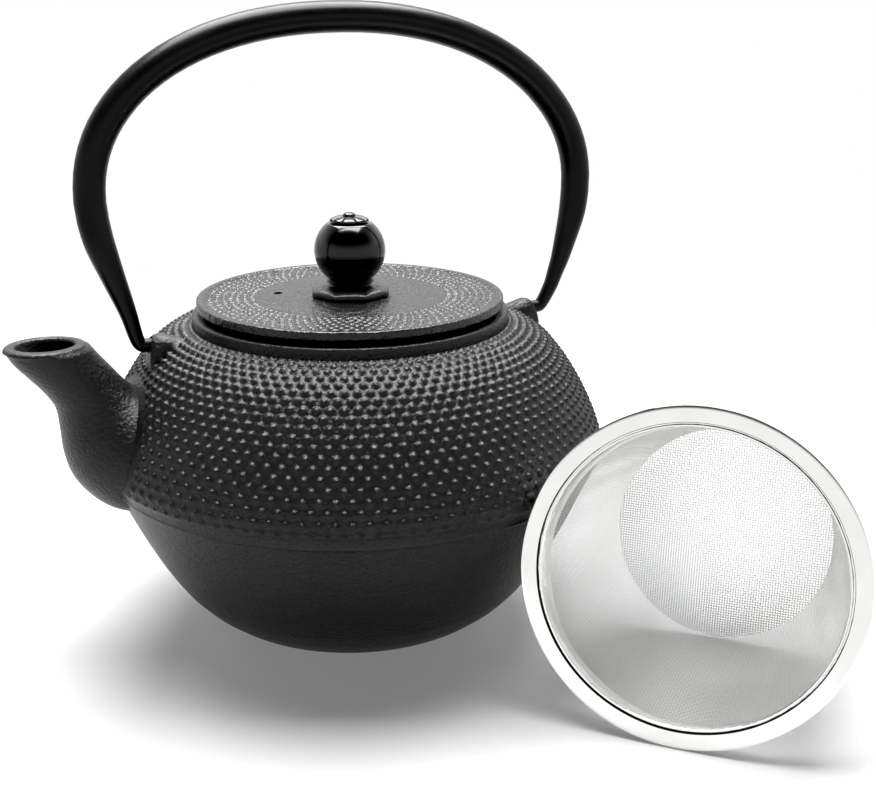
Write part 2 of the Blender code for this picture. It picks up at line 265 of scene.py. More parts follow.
class Surface:
    """A turned surface by its arc length s: place() gives a point lifted off it."""

    def __init__(self, radii, heights):
        self.r = np.array(radii, float)
        self.z = np.array(heights, float)
        steps = np.hypot(np.diff(self.r), np.diff(self.z))
        self.s = np.concatenate([[0.0], np.cumsum(steps)])
        self.length = float(self.s[-1])
        self.slope_r = np.gradient(self.r, self.s)
        self.slope_z = np.gradient(self.z, self.s)

    def at(self, s):
        r = float(np.interp(s, self.s, self.r))
        z = float(np.interp(s, self.s, self.z))
        slope_r = float(np.interp(s, self.s, self.slope_r))
        slope_z = float(np.interp(s, self.s, self.slope_z))
        across = Vector((slope_r, slope_z)).normalized()
        return r, z, -across.y, across.x

    def place(self, theta, s, lift=0.0):
        r, z, out, up = self.at(s)
        r += out * lift
        return (r * math.cos(theta), r * math.sin(theta), z + up * lift)


def softened(values, reach):
    """A moving average that keeps both ends."""
    kernel = np.hanning(2 * reach + 3)[1:-1]
    kernel /= kernel.sum()
    padded = np.pad(values, reach, mode="reflect", reflect_type="odd")
    return np.convolve(padded, kernel, mode="valid")


def outer_radius(tree, height):
    """The frame solid's outer radius on its +Y side at one height."""
    hit = tree.ray_cast(Vector((0.0, 0.3, height)), Vector((0.0, -1.0, 0.0)))
    return hit[0].y


def pot_surface(tree, top, bottom, reach):
    heights = np.linspace(top, bottom, 400)
    radii = np.array([outer_radius(tree, z) for z in heights])
    return Surface(softened(radii, reach), heights)


# ---- hobnail field


DOME = [(1.0, 0.0), (0.78, 0.36), (0.46, 0.78)]
COARSE_DOME = [(1.0, 0.0), (0.6, 0.66)]


class Hobnails:
    """Staggered rows of domes on a turned surface. Each sits in a hexagon shared with its six
    neighbours, so the field is one closed sheet."""

    def __init__(self, shell, surface, places, columns, radius, height, plain=None, coarse=0):
        self.shell = shell
        self.surface = surface
        self.places = places
        self.columns = columns
        self.radius = radius
        self.height = height
        self.plain = plain or (lambda place: 1.0)
        self.coarse = coarse
        self.lines = []
        self.sides = {}

    def theta(self, half_column):
        return math.pi * half_column / self.columns

    def step(self, line):
        """Distance between the rows above and below a zigzag line."""
        last = len(self.places) - 1
        line = min(max(line, 1), last)
        return self.places[line] - self.places[line - 1]

    def line_place(self, line, half_column):
        gap = self.step(line)
        below = line < len(self.places)
        row = self.places[line] if below else self.places[-1] + gap
        centre_below = (half_column - line) % 2 == 0
        return row - gap * (2 / 3 if centre_below else 1 / 3)

    def zigzag(self, line):
        made = []
        for k in range(2 * self.columns):
            here = self.line_place(line, k)
            ahead = self.line_place(line, k + 1)
            made.append(self.shell.point(self.surface.place(self.theta(k), here)))
            middle = self.surface.place(self.theta(k + 0.5), (here + ahead) / 2)
            made.append(self.shell.point(middle))
        return made

    def side(self, row, half_column):
        key = (row, half_column % (2 * self.columns))
        if key not in self.sides:
            place = self.surface.place(self.theta(key[1]), self.places[row])
            self.sides[key] = self.shell.point(place)
        return self.sides[key]

    def outline(self, row, k):
        """The twelve points of a cell's hexagon, from the top corner round by the right."""
        above, below = self.lines[row], self.lines[row + 1]
        count = len(above)
        u = 2 * k
        top = [above[(u + i) % count] for i in (0, 1, 2)]
        low = [below[(u + i) % count] for i in (2, 1, 0, -1, -2)]
        back = [above[(u + i) % count] for i in (-2, -1)]
        return top + [self.side(row, k + 1)] + low + [self.side(row, k - 1)] + back

    def dome_point(self, row, k, share, angle, lift):
        s = self.places[row]
        r = self.surface.at(s)[0]
        size = self.radius(row)
        theta = self.theta(k) + size * share * math.sin(angle) / r
        here = s - size * share * math.cos(angle)
        lift *= self.height(row) * self.plain(self.surface.place(theta, here))
        return self.shell.point(self.surface.place(theta, here, lift))

    def cell(self, row, k):
        rings = [self.outline(row, k)]
        for share, lift in COARSE_DOME if row < self.coarse else DOME:
            angles = [TAU * i / 12 for i in range(12)]
            rings.append([self.dome_point(row, k, share, a, lift) for a in angles])
        self.shell.skin(rings)
        tip = self.dome_point(row, k, 0.0, 0.0, 1.0)
        for i in range(12):
            self.shell.faces.append((rings[-1][i], rings[-1][(i + 1) % 12], tip))

    def fill(self, rows):
        self.lines = [self.zigzag(line) for line in range(rows + 1)]
        for row in range(rows):
            for i in range(self.columns):
                self.cell(row, 2 * i + row % 2)

    def join(self, line, ring):
        """Closes the strip between a zigzag line and a plain ring of two points a column."""
        zigzag = self.lines[line]
        count = len(ring)
        for k in range(count):
            n = (k + 1) % count
            self.shell.faces.append(
                (ring[k], ring[n], zigzag[(2 * n) % (2 * count)], zigzag[2 * k + 1], zigzag[2 * k])
            )

    def half_row(self, row, ring):
        """Domes cut in half along a plain ring, each with its flat cut face."""
        above = self.lines[row]
        count = len(above)
        parity = row % 2
        for i in range(self.columns):
            k = 2 * i + parity
            u = 2 * k
            left, right = self.side(row, k - 1), self.side(row, k + 1)
            arc = [left] + [above[(u + j) % count] for j in (-2, -1, 0, 1, 2)] + [right]
            rings = [arc]
            for share, lift in DOME:
                angles = [-math.pi / 2 + math.pi * j / 6 for j in range(7)]
                rings.append([self.dome_point(row, k, share, a, lift) for a in angles])
            for outer, inner in zip(rings, rings[1:]):
                for j in range(6):
                    self.shell.faces.append((outer[j], outer[j + 1], inner[j + 1], inner[j]))
            tip = self.dome_point(row, k, 0.0, 0.0, 1.0)
            for j in range(6):
                self.shell.faces.append((rings[-1][j], rings[-1][j + 1], tip))
            cut = [r[0] for r in rings[1:]] + [tip] + [r[-1] for r in rings[:0:-1]]
            self.shell.faces.append(tuple(cut))
            low = [ring[(k + j) % len(ring)] for j in (1, 0, -1)]
            self.shell.faces.append((left, rings[1][0], rings[1][-1], right, *low))


# ---- materials


RANGE_SOCKETS = ("Value", "From Min", "From Max", "To Min", "To Max")


def add_node(tree, kind, inputs=None, **settings):
    """A new shader node. An input is either a plain value or another node's output."""
    node = tree.nodes.new(kind)
    for key, value in settings.items():
        setattr(node, key, value)
    for key, value in (inputs or {}).items():
        if isinstance(value, bpy.types.NodeSocket):
            tree.links.new(value, node.inputs[key])
        else:
            node.inputs[key].default_value = value
    return node


class Nodes:
    """Short names for building one material's node tree."""

    def __init__(self, name):
        self.material = bpy.data.materials.new(name)
        self.material.use_nodes = True
        self.tree = self.material.node_tree
        self.shader = self.tree.nodes["Principled BSDF"]
        self.coords = self.tree.nodes.new("ShaderNodeTexCoord").outputs["Object"]

    def add(self, kind, inputs=None, **settings):
        return add_node(self.tree, kind, inputs, **settings)

    def noise(self, size, detail=3.0, roughness=0.6):
        """Soft noise whose features are about this many metres across."""
        inputs = {"Vector": self.coords, "Scale": 1 / size, "Detail": detail, "Roughness": roughness}
        return self.add("ShaderNodeTexNoise", inputs).outputs["Fac"]

    def cells(self, size):
        inputs = {"Vector": self.coords, "Scale": 1 / size}
        return self.add("ShaderNodeTexVoronoi", inputs).outputs["Distance"]

    def spread(self, value, out_low, out_high, low=0.3, high=0.7):
        inputs = dict(zip(RANGE_SOCKETS, (value, low, high, out_low, out_high)))
        return self.add("ShaderNodeMapRange", inputs).outputs[0]

    def mix(self, share, a, b):
        node = self.add("ShaderNodeMix", data_type="RGBA")
        for socket, value in zip((node.inputs[0], node.inputs[6], node.inputs[7]), (share, a, b)):
            if isinstance(value, bpy.types.NodeSocket):
                self.tree.links.new(value, socket)
            else:
                socket.default_value = value if isinstance(value, float) else (*value, 1.0)
        return node.outputs[2]

    def bump(self, height, strength, distance, normal=None):
        inputs = {"Height": height, "Strength": strength, "Distance": distance}
        if normal:
            inputs["Normal"] = normal
        return self.add("ShaderNodeBump", inputs).outputs[0]

    def set(self, **sockets):
        for key, value in sockets.items():
            socket = self.shader.inputs[key.replace("_", " ")]
            if isinstance(value, bpy.types.NodeSocket):
                self.tree.links.new(value, socket)
            elif isinstance(value, tuple):
                socket.default_value = (*value, 1.0)
            else:
                socket.default_value = value
        return self.material


def cast_iron():
    """Black-brown lacquered iron with a fine sand-cast grain."""
    n = Nodes("cast_iron")
    grain = n.noise(0.9 * MM, 4.0, 0.65)
    pits = n.cells(1.3 * MM)
    waves = n.noise(7 * MM, 2.0)
    color = n.mix(n.spread(waves, 0.0, 1.0), (0.0045, 0.0042, 0.004), (0.008, 0.0075, 0.007))
    normal = n.bump(waves, 0.3, 0.6 * MM)
    normal = n.bump(pits, 0.5, 0.3 * MM, normal)
    normal = n.bump(grain, 0.8, 0.28 * MM, normal)
    rough = n.spread(grain, 0.33, 0.46)
    return n.set(Base_Color=color, Roughness=rough, Normal=normal, Specular_IOR_Level=0.5)


def lid_iron():
    """The lid's iron: a glossier lacquer over a coarse, blotchy cast skin."""
    n = Nodes("lid_iron")
    grain = n.noise(0.9 * MM, 3.0, 0.6)
    blotch = n.noise(2.4 * MM, 3.0, 0.6)
    pits = n.cells(2.2 * MM)
    color = n.mix(n.spread(blotch, 0.0, 1.0), (0.007, 0.007, 0.007), (0.013, 0.013, 0.0135))
    normal = n.bump(blotch, 0.9, 0.8 * MM)
    normal = n.bump(pits, 0.35, 0.35 * MM, normal)
    normal = n.bump(grain, 0.6, 0.2 * MM, normal)
    rough = n.spread(blotch, 0.22, 0.36)
    return n.set(Base_Color=color, Roughness=rough, Normal=normal, Specular_IOR_Level=0.55)


def satin_black():
    """Enamel on the handle tube, with a slight orange peel."""
    n = Nodes("satin_black")
    peel = n.noise(1.6 * MM, 2.0)
    cloud = n.noise(14 * MM, 2.0)
    color = n.mix(cloud, (0.0035, 0.0035, 0.0035), (0.006, 0.006, 0.006))
    normal = n.bump(peel, 0.12, 0.1 * MM)
    rough = n.spread(cloud, 0.28, 0.38)
    return n.set(Base_Color=color, Roughness=rough, Normal=normal, Specular_IOR_Level=0.27)


def gloss_black():
    """Thick gloss enamel on the knob."""
    n = Nodes("gloss_black")
    peel = n.noise(2.2 * MM, 2.0)
    color = n.mix(peel, (0.0012, 0.0012, 0.0013), (0.002, 0.002, 0.0022))
    normal = n.bump(peel, 0.06, 0.1 * MM)
    rough = n.spread(peel, 0.12, 0.19)
    return n.set(Base_Color=color, Roughness=rough, Normal=normal, Coat_Weight=0.1, Coat_Roughness=0.1)


def dull_black():
    """The knob's cast foot, whose enamel is thinner and rougher."""
    n = Nodes("dull_black")
    peel = n.noise(1.4 * MM, 3.0)
    color = n.mix(peel, (0.006, 0.006, 0.006), (0.01, 0.01, 0.01))
    normal = n.bump(peel, 0.35, 0.2 * MM)
    rough = n.spread(peel, 0.3, 0.42)
    return n.set(Base_Color=color, Roughness=rough, Normal=normal, Specular_IOR_Level=0.7)


def enamel_inside():
    """The pot's smooth dark lining."""
    n = Nodes("enamel_inside")
    peel = n.noise(3 * MM, 2.0)
    color = n.mix(peel, (0.03, 0.03, 0.031), (0.045, 0.045, 0.046))
    normal = n.bump(peel, 0.1, 0.2 * MM)
    rough = n.spread(peel, 0.2, 0.3)
    return n.set(Base_Color=color, Roughness=rough, Normal=normal)


def stainless(name, low, high, color=(0.84, 0.84, 0.83), dents=0.0):
    """Stainless steel sheet with fine polishing marks, a few smudges and, if wanted, soft dents."""
    n = Nodes(name)
    smudge = n.noise(16 * MM, 3.0)
    grain = n.noise(0.35 * MM, 2.0)
    shade = tuple(c * 0.94 for c in color)
    tint = n.mix(n.spread(smudge, 0.0, 1.0, 0.35, 0.65), shade, color)
    normal = n.bump(grain, 0.06, 0.05 * MM)
    if dents:
        normal = n.bump(n.noise(6 * MM, 2.0), dents, 1.0 * MM, normal)
    rough = n.spread(smudge, low, high)
    return n.set(Base_Color=tint, Metallic=1.0, Roughness=rough, Normal=normal)


# ---- the pot


def row_places(length):
    """Arc length of each hobnail row, the last one on the seam."""
    shares = [(j / (ROWS - 2)) ** 1.2 for j in range(ROWS - 1)]
    steps = [FIRST_ROW_STEP + (LAST_ROW_STEP - FIRST_ROW_STEP) * t for t in shares]
    start = 0.7 * MM
    scale = (length - start) / (sum(steps) * MM)
    return [start + sum(steps[:j]) * MM * scale for j in range(ROWS)]


def spout_border(place):
    """0 on the plain border round the spout's root, 1 on the open shoulder."""
    x, y, z = place
    if x > 0:
        return 1.0
    distance = math.hypot(y / MM / 24.0, (z / MM - 67.5) / 22.5)
    return min(max((distance - 1.0) / 0.05, 0.0), 1.0)


def spout_rings(count, around, inset=0.0):
    """Cross-sections from the spout's mouth to its root, each drawn in by the inset."""
    rings = []
    for row in spline(SPOUT, count):
        outer = Vector((row[0], 0.0, row[1])) * MM
        inner = Vector((row[2], 0.0, row[3])) * MM
        centre = (outer + inner) / 2
        length = (outer - centre).length
        long = (outer - centre) * (1 - inset / length)
        across = Vector((0.0, row[4] * MM - inset, 0.0))
        angles = [TAU * j / around for j in range(around)]
        rings.append([centre + math.cos(a) * long + math.sin(a) * across for a in angles])
    return rings


def scaled_ring(ring, share, shift):
    """The ring scaled about its centre, then shifted by some millimetres."""
    centre = sum(ring, Vector()) / len(ring)
    return [centre + (p - centre) * share + Vector(shift) * MM for p in ring]


def spout_solid():
    """The spout's outside, with a rounded lip."""
    rings = spout_rings(40, 56)
    edge = ((0.88, 0.0), (0.94, -0.12), (0.98, -0.5), (1.0, -1.1))
    lip = [scaled_ring(rings[0], share, (0, 0, lift)) for share, lift in edge]
    return loft("spout", lip + rings[1:])


def channel_solid():
    """The way through the spout, with its edge eased at the mouth."""
    rings = spout_rings(30, 48, inset=SPOUT_WALL)
    edge = ((1.12, 1.2), (1.06, 0.02), (1.015, -0.5), (1.0, -1.3))
    flare = [scaled_ring(rings[0], share, (0, 0, lift)) for share, lift in edge]
    middle = rings[3:-4]
    root = ((0.85, 8), (0.7, 18))
    end = [scaled_ring(middle[-1], share, (step, 0, 0)) for share, step in root]
    return loft("channel", flare + middle + end)


def lug_solid(side, base_radius, face_x, top):
    """One handle lug: a rounded ear whose top slopes down to the collar. Offsets are in mm."""
    root = ((-2, -14), (-2, -2.6), (4, -2), (8.5, -0.7))
    face = ((-4, 0), (-2, -0.3), (-0.6, -1.4), (0, -3.4), (0.4, -8), (1.8, -16))
    outline = [(base_radius + x * MM, top + z * MM) for x, z in root]
    outline += [(face_x + x * MM, top + z * MM) for x, z in face]
    half = 4.6 * MM
    rings = []
    for share in (-1.0, -0.93, -0.8, -0.6, -0.3, 0.0, 0.3, 0.6, 0.8, 0.93, 1.0):
        drop = 3.6 * MM * abs(share) ** 3
        rings.append([Vector((side * x, share * half, z - drop)) for x, z in outline])
    return loft("lug", rings)


def rod_solid(start, end, radius, around=32):
    axis = (Vector(end) - Vector(start)).normalized()
    side = axis.orthogonal().normalized()
    up = axis.cross(side)
    angles = [TAU * j / around for j in range(around)]
    ring = [radius * (math.cos(a) * side + math.sin(a) * up) for a in angles]
    return loft("rod", [[Vector(end_point) + p for p in ring] for end_point in (start, end)])


def cavity_solid(tree, mouth_radius, collar_top, wall=3.3 * MM):
    """The inside of the pot: its outside less the wall, under the round mouth."""
    heights = np.linspace(collar_top - 6.5 * MM, wall + 1.2 * MM, 44)
    radii = [max(outer_radius(tree, z) - wall * 1.12, 20 * MM) for z in heights]
    radii = softened(np.array(radii), 2)
    profile = [(0.0, collar_top + 4 * MM), (mouth_radius, collar_top + 4 * MM)]
    profile += [(mouth_radius, collar_top - 3.2 * MM), (mouth_radius + 1.2 * MM, collar_top - 4.6 * MM)]
    profile += [(r, z) for r, z in zip(radii, heights)]
    profile.append((0.0, heights[-1] - 0.6 * MM))
    return turned_solid("cavity", profile, 120)


def pot_solid(tree, collar_radius, collar_top, seam_z):
    """The pot's filled outside: collar, hobnail shoulder, seam, bowl and foot."""
    foot_z = collar_top - 3.4 * MM
    shoulder = pot_surface(tree, foot_z - 0.05 * MM, seam_z + 0.6 * MM, 14)
    rows = row_places(shoulder.length)
    columns = 2 * COLUMNS
    shell = Shell()

    def bump_radius(row):
        pitch = TAU * shoulder.at(rows[row])[0] / COLUMNS
        return min(BUMP_RADIUS, 0.455 * pitch) * {0: 0.6, ROWS - 1: 0.9}.get(row, 1.0)

    def bump_height(row):
        share = {0: 0.5, ROWS - 1: 0.3}.get(row, 1.15 if row < COARSE_ROWS else 1.0)
        return BUMP_HEIGHT * share * (1.0 - 0.12 * max(row - 8, 0) / (ROWS - 9))

    sizes = (bump_radius, bump_height)
    nails = Hobnails(shell, shoulder, rows, COLUMNS, *sizes, spout_border, COARSE_ROWS)
    nails.fill(ROWS - 1)
    collar = [(collar_radius - 2.4 * MM, collar_top)]
    corner = (collar_radius, collar_top)
    collar += round_corner(corner, collar[0], (collar_radius, foot_z), 0.8 * MM)
    collar += [(collar_radius, collar_top - 2 * MM), (collar_radius + 0.05 * MM, foot_z - GROOVE_DEPTH)]
    rings = shell.turned(collar, columns)
    nails.join(0, rings[-1])
    shell.faces.append(tuple(rings[0]))

    seam = shell.ring(shoulder.at(shoulder.length)[0] - 0.25 * MM, seam_z + 0.25 * MM, columns)
    nails.half_row(ROWS - 1, seam)
    bowl = bowl_profile(tree, seam_z)
    rings = shell.turned(bowl, columns, first=seam)
    shell.faces.append(tuple(rings[-1]))
    return shell.object("pot_casting")


def bowl_profile(tree, seam_z):
    """From just under the seam to the foot, with the parting line a little below the seam."""
    surface = pot_surface(tree, seam_z - 1.2 * MM, 0.4 * MM, 8)
    parting = 3.1 * MM
    profile = []
    marks = [0, 1.0, 2.0, 2.7, 3.0, 3.2, 3.5, 4.4]
    marks += list(np.linspace(6.5, surface.length / MM - 1.0, 36))
    for mark in marks:
        r, z, out, up = surface.at(mark * MM)
        lift = 0.28 * MM * math.exp(-(((mark * MM - parting) / (0.3 * MM)) ** 2))
        profile.append((r + out * lift, z + up * lift))
    foot = surface.at(surface.length)[0] - 1.2 * MM
    return profile + [(foot + 0.8 * MM, 0.12 * MM), (foot, 0.0)]


def build_pot(finish, lining):
    tree = tree_of("pot_body")
    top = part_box("pot_body")[1].z
    lid_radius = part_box("lid")[1].x
    collar_radius = lid_radius + 1.6 * MM
    peg_z = peg_height()
    pot = pot_solid(tree, collar_radius, top, SEAM_HEIGHT)
    combine(pot, spout_solid(), "UNION")
    for side in (1, -1):
        combine(pot, lug_solid(side, collar_radius, LUG_FACE, peg_z + 3.3 * MM), "UNION")
    combine(pot, cavity_solid(tree, MOUTH_RADIUS, top), "DIFFERENCE")
    combine(pot, channel_solid(), "DIFFERENCE")
    for side in (1, -1):
        hole = rod_solid((side * 59.2 * MM, 0, peg_z), (side * 70 * MM, 0, peg_z), 2.5 * MM)
        combine(pot, hole, "DIFFERENCE")
    refinish(pot, finish, lining)
    line_inside(pot, tree, top)
    smooth(pot, 70)
    stand_for(pot, "pot", "pot_body")


def line_inside(pot, tree, top):
    """Gives the lining to the faces of the cavity."""
    for face in pot.data.polygons:
        c = face.center
        inside = face.normal.x * c.x + face.normal.y * c.y < 0 or face.normal.z > 0
        radius = math.hypot(c.x, c.y)
        if inside and MM < c.z < top - MM and radius < outer_radius(tree, c.z) - 2 * MM:
            face.material_index = 1


# ---- the handle


def arch_points(half, spring, top, size, power):
    """One side of the bail's superelliptic arch, from its spring to its crown."""
    points = []
    for i in range(25):
        a = math.pi / 2 * i / 24
        x = half * abs(math.cos(a)) ** (2 / power)
        points.append((x, spring + (top - spring) * math.sin(a) ** (2 / power), size))
    return points


LEAN_HEIGHTS = [101, 108, 116, 130, 143, 158, 172, 185, 199]
LEAN_RIGHT = [0.4, 2.6, 2.9, 1.5, 0.7, -0.1, -1.3, -1.4, -1.0]
LEAN_LEFT = [0, 0.3, 0.3, 0.8, 0.15, 0.2, 0.1, -0.5, -1.0]


def handle_lean(height, amounts):
    """The bail sits a little skewed on its pegs: sideways shift by height."""
    return np.interp(height / MM, LEAN_HEIGHTS, softened(np.array(amounts, float), 1)) * MM


def build_handle(finish):
    """The bail tube, tapered down to the pegs."""
    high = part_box("handle")[1]
    radius = high.y
    half = high.x - radius
    top = high.z - radius + 0.7 * MM
    peg_z = peg_height()
    spring = peg_z + 44.8 * MM
    # How far out, how high over the peg and how thick the tube is, in mm.
    bends = [
        (60.0, 0.0, 2.1),
        (66.4, 0.0, 2.1),
        (68.3, 0.5, 2.15),
        (69.6, 3.2, 2.25),
        (71.7, 10.8, 2.65),
        (75.2, 21.3, 3.55),
        (78.6, 32.3, 4.5),
    ]
    arm = [(x * MM, peg_z + up * MM, size) for x, up, size in bends]
    arm.append((half - 0.1 * MM, peg_z + 41.3 * MM, radius / MM))
    right = np.vstack([spline(arm, 34)[:-1], arch_points(half, spring, top, radius / MM, 2.08)])
    left = np.vstack([spline(arm, 34)[:-1], arch_points(half, spring, top, radius / MM, 2.17)])
    left[:, 0] *= -1
    right[:, 0] += handle_lean(right[:, 1], LEAN_RIGHT)
    left[:, 0] += handle_lean(left[:, 1], LEAN_LEFT)
    path = np.vstack([right, left[-2::-1]])
    curve = bpy.data.curves.new("handle_tube", "CURVE")
    curve.dimensions = "3D"
    curve.bevel_depth = MM
    curve.bevel_resolution = 10
    curve.use_fill_caps = True
    curve.twist_mode = "MINIMUM"
    line = curve.splines.new("POLY")
    line.points.add(len(path) - 1)
    for point, (x, z, size) in zip(line.points, path):
        point.co = (x, 0.0, z, 1.0)
        point.radius = size
    guide = new_object("handle_guide", curve)
    mesh = evaluated_mesh(guide)
    bpy.data.objects.remove(guide, do_unlink=True)
    tube = new_object("handle_tube", mesh)
    work = bmesh.new()
    work.from_mesh(mesh)
    bmesh.ops.remove_doubles(work, verts=work.verts, dist=0.01 * MM)
    work.to_mesh(mesh)
    work.free()
    refinish(tube, finish)
    smooth(tube, 50)
    stand_for(tube, "handle", "handle")


# ---- the lid and its knob


LID_COLUMNS = 88
LID_ROWS = 7
LID_ROW_STEP = 2.25 * MM
LID_BUMP_RADIUS = 0.88 * MM
LID_BUMP_HEIGHT = 0.52 * MM


def build_lid(finish):
    """The lid: rolled rim, hobnail ring round a plain centre, skirt and hollow underside."""
    low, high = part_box("lid")
    radius = high.x
    rim_top = high.z
    plate = rim_top - 0.4 * MM
    ceiling = plate - 2.6 * MM
    columns = 2 * LID_COLUMNS
    shell = Shell()
    edge = radius - 2.9 * MM
    field = Surface([edge, edge - (LID_ROWS + 1) * LID_ROW_STEP], [plate, plate])
    places = [1.25 * MM + row * LID_ROW_STEP for row in range(LID_ROWS)]

    def radius_of(row):
        pitch = TAU * (edge - places[row]) / LID_COLUMNS
        return min(LID_BUMP_RADIUS, 0.43 * pitch)

    height = lambda row: LID_BUMP_HEIGHT
    nails = Hobnails(shell, field, places, LID_COLUMNS, radius_of, height, coarse=LID_ROWS)
    nails.fill(LID_ROWS)

    side = [(radius - 2.55 * MM, plate + 0.02 * MM), (radius - 2.25 * MM, rim_top - 0.1 * MM)]
    side += [(radius - 1.9 * MM, rim_top), (radius - 0.9 * MM, rim_top - 0.02 * MM)]
    side += round_corner(
        (radius, rim_top - 0.05 * MM), (radius - 2 * MM, rim_top), (radius, rim_top - 3 * MM), 0.7 * MM
    )
    side += round_corner(
        (radius, rim_top - 2.6 * MM), (radius, rim_top), (radius - 2.4 * MM, rim_top - 4.3 * MM), 0.5 * MM
    )
    under = rim_top - 4.3 * MM
    skirt_radius = 42.4 * MM
    side += [(radius - 2.2 * MM, under), (skirt_radius, under), (skirt_radius, low.z + 0.4 * MM)]
    side += [(skirt_radius - 0.4 * MM, low.z), (skirt_radius - 1.5 * MM, low.z)]
    side += [(skirt_radius - 1.8 * MM, low.z + 0.4 * MM), (skirt_radius - 1.8 * MM, plate - 2.9 * MM)]
    side += [(skirt_radius - 2.4 * MM, ceiling), (12 * MM, ceiling), (SCREW_BORE, ceiling)]
    rings = shell.turned(side, columns)
    nails.join(0, rings[0])
    inner = edge - places[-1] - 0.85 * LID_ROW_STEP
    centre = [(inner, plate), (inner - 0.8 * MM, plate + 0.12 * MM), (20 * MM, plate + 0.2 * MM)]
    centre += [(12 * MM, plate + 0.2 * MM), (SCREW_BORE, plate + 0.2 * MM)]
    middle = shell.turned(centre, columns)
    nails.join(LID_ROWS, middle[0])
    shell.band(middle[-1], rings[-1])
    lid = shell.object("lid_casting", finish)
    vent_at = Vector((-21.3 * MM, 10.6 * MM, plate))
    reach = Vector((0.0, 0.0, 6 * MM))
    vent = rod_solid(vent_at - reach, vent_at + reach, 1.5 * MM)
    combine(lid, vent, "DIFFERENCE")
    smooth(lid, 60)
    stand_for(lid, "lid", "lid")


SCREW_BORE = 1.75 * MM
KNOB_TURN = math.radians(-108.5)
NECK_DROP = 1.9 * MM


def build_knob_foot(finish):
    """Eight rounded petals round a short flared neck."""
    low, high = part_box("knob_base")
    high.z -= NECK_DROP
    flats = 24.6 * MM
    around = 128
    shell = Shell()

    def petal_ring(scale, height, crease):
        ring = []
        for k in range(around):
            a = TAU * k / around
            local = (a + math.pi / 8) % (math.pi / 4) - math.pi / 8
            radius = flats / 2 / math.cos(local) * scale
            edge = abs(local) / (math.pi / 8)
            radius -= 0.5 * MM * edge**6 * scale
            drop = crease * edge**4
            b = a + KNOB_TURN
            ring.append(shell.point((radius * math.cos(b), radius * math.sin(b), height - drop)))
        return ring

    base = low.z
    steps = [
        (0.985, 0, 0),
        (1.0, 0.25, 0),
        (1.0, 1.5, 0),
        (0.985, 1.9, 0.1),
        (0.95, 2.25, 0.25),
        (0.86, 2.75, 0.45),
        (0.76, 3.1, 0.45),
        (0.7, 3.2, 0.25),
    ]
    rings = [petal_ring(scale, base + up * MM, crease * MM) for scale, up, crease in steps]
    neck = [
        (7.7 * MM, base + 3.2 * MM),
        (7.1 * MM, base + 3.6 * MM),
        (6.9 * MM, high.z - 1.0 * MM),
        (7.1 * MM, high.z - 0.7 * MM),
        (7.6 * MM, high.z - 0.45 * MM),
        (7.65 * MM, high.z - 0.15 * MM),
        (7.5 * MM, high.z),
        (SCREW_BORE, high.z),
    ]
    for r, z in neck + [(SCREW_BORE, base)]:
        rings.append(shell.ring(r, z, around, KNOB_TURN))
    shell.skin(rings, closed=True)
    foot = smooth(shell.object("knob_foot", finish), 40)
    stand_for(foot, "lid", "knob_base")


def build_knob_grip(finish):
    """The ball, with a turned shoulder under the flower and a flat bottom."""
    low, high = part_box("knob_ball")
    radius = high.x + 0.5 * MM
    centre = low.z + 7.3 * MM
    low.z -= NECK_DROP
    first = math.asin((high.z - centre) / radius)
    last = math.asin((low.z - centre) / radius)
    profile = [(SCREW_BORE, high.z), (radius * math.cos(first) - 0.7 * MM, high.z)]
    profile.append((radius * math.cos(first) - 0.15 * MM, high.z - 0.12 * MM))
    for i in range(1, 48):
        a = first + (last - first) * i / 48
        profile.append((radius * math.cos(a), centre + radius * math.sin(a)))
    profile += [(radius * math.cos(last) - 0.2 * MM, low.z), (SCREW_BORE, low.z)]
    ball = smooth(turned_solid("knob_grip", profile, 96, finish), 50)
    stand_for(ball, "lid", "knob_ball")


def build_knob_flower(finish):
    """Eight raised petals with grooves between them, dished towards the screw."""
    low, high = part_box("knob_rosette")
    radius = 6.3 * MM
    thick = high.z - low.z
    around = 128
    shell = Shell()
    rows = [
        (0.94, 0.0, 0.0),
        (1.0, 0.12, 0.0),
        (1.0, 0.26, 0.08),
        (0.95, 0.42, 0.16),
        (0.84, 0.6, 0.2),
        (0.68, 0.76, 0.22),
        (0.5, 0.85, 0.2),
        (0.38, 0.88, 0.1),
        (0.28, 0.88, 0.0),
    ]
    rings = []
    for scale, height, groove in rows:
        ring = []
        for k in range(around):
            a = TAU * k / around
            edge = abs(((a + math.pi / 8) % (math.pi / 4)) / (math.pi / 8) - 1)
            r = radius * scale * (1 - 0.07 * edge**6)
            z = low.z + thick * (height - groove * edge**6)
            b = a + KNOB_TURN
            ring.append(shell.point((r * math.cos(b), r * math.sin(b), z)))
        rings.append(ring)
    rings.append(shell.ring(1.76 * MM, low.z, around, KNOB_TURN))
    shell.skin(rings, closed=True)
    flower = smooth(shell.object("knob_flower", finish), 45)
    stand_for(flower, "lid", "knob_rosette")


def build_knob_screw(finish):
    """Domed screw head over the flower, on its shank down to the nut."""
    low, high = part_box("knob_screw")
    head = high.x
    high.z -= 1.1 * MM
    under = high.z - 1.4 * MM
    shank = 1.45 * MM
    profile = [(0.0, high.z)]
    for i in range(1, 8):
        a = math.pi / 2 * i / 8
        profile.append((head * math.sin(a), under + 0.35 * MM + 1.05 * MM * math.cos(a)))
    profile += [(head, under + 0.35 * MM), (head - 0.1 * MM, under), (shank, under)]
    profile += [(shank, low.z + 0.3 * MM), (shank - 0.3 * MM, low.z), (0.0, low.z)]
    screw = smooth(turned_solid("knob_button", profile, 48, finish), 40)
    stand_for(screw, "lid", "knob_screw")


# ---- the infuser


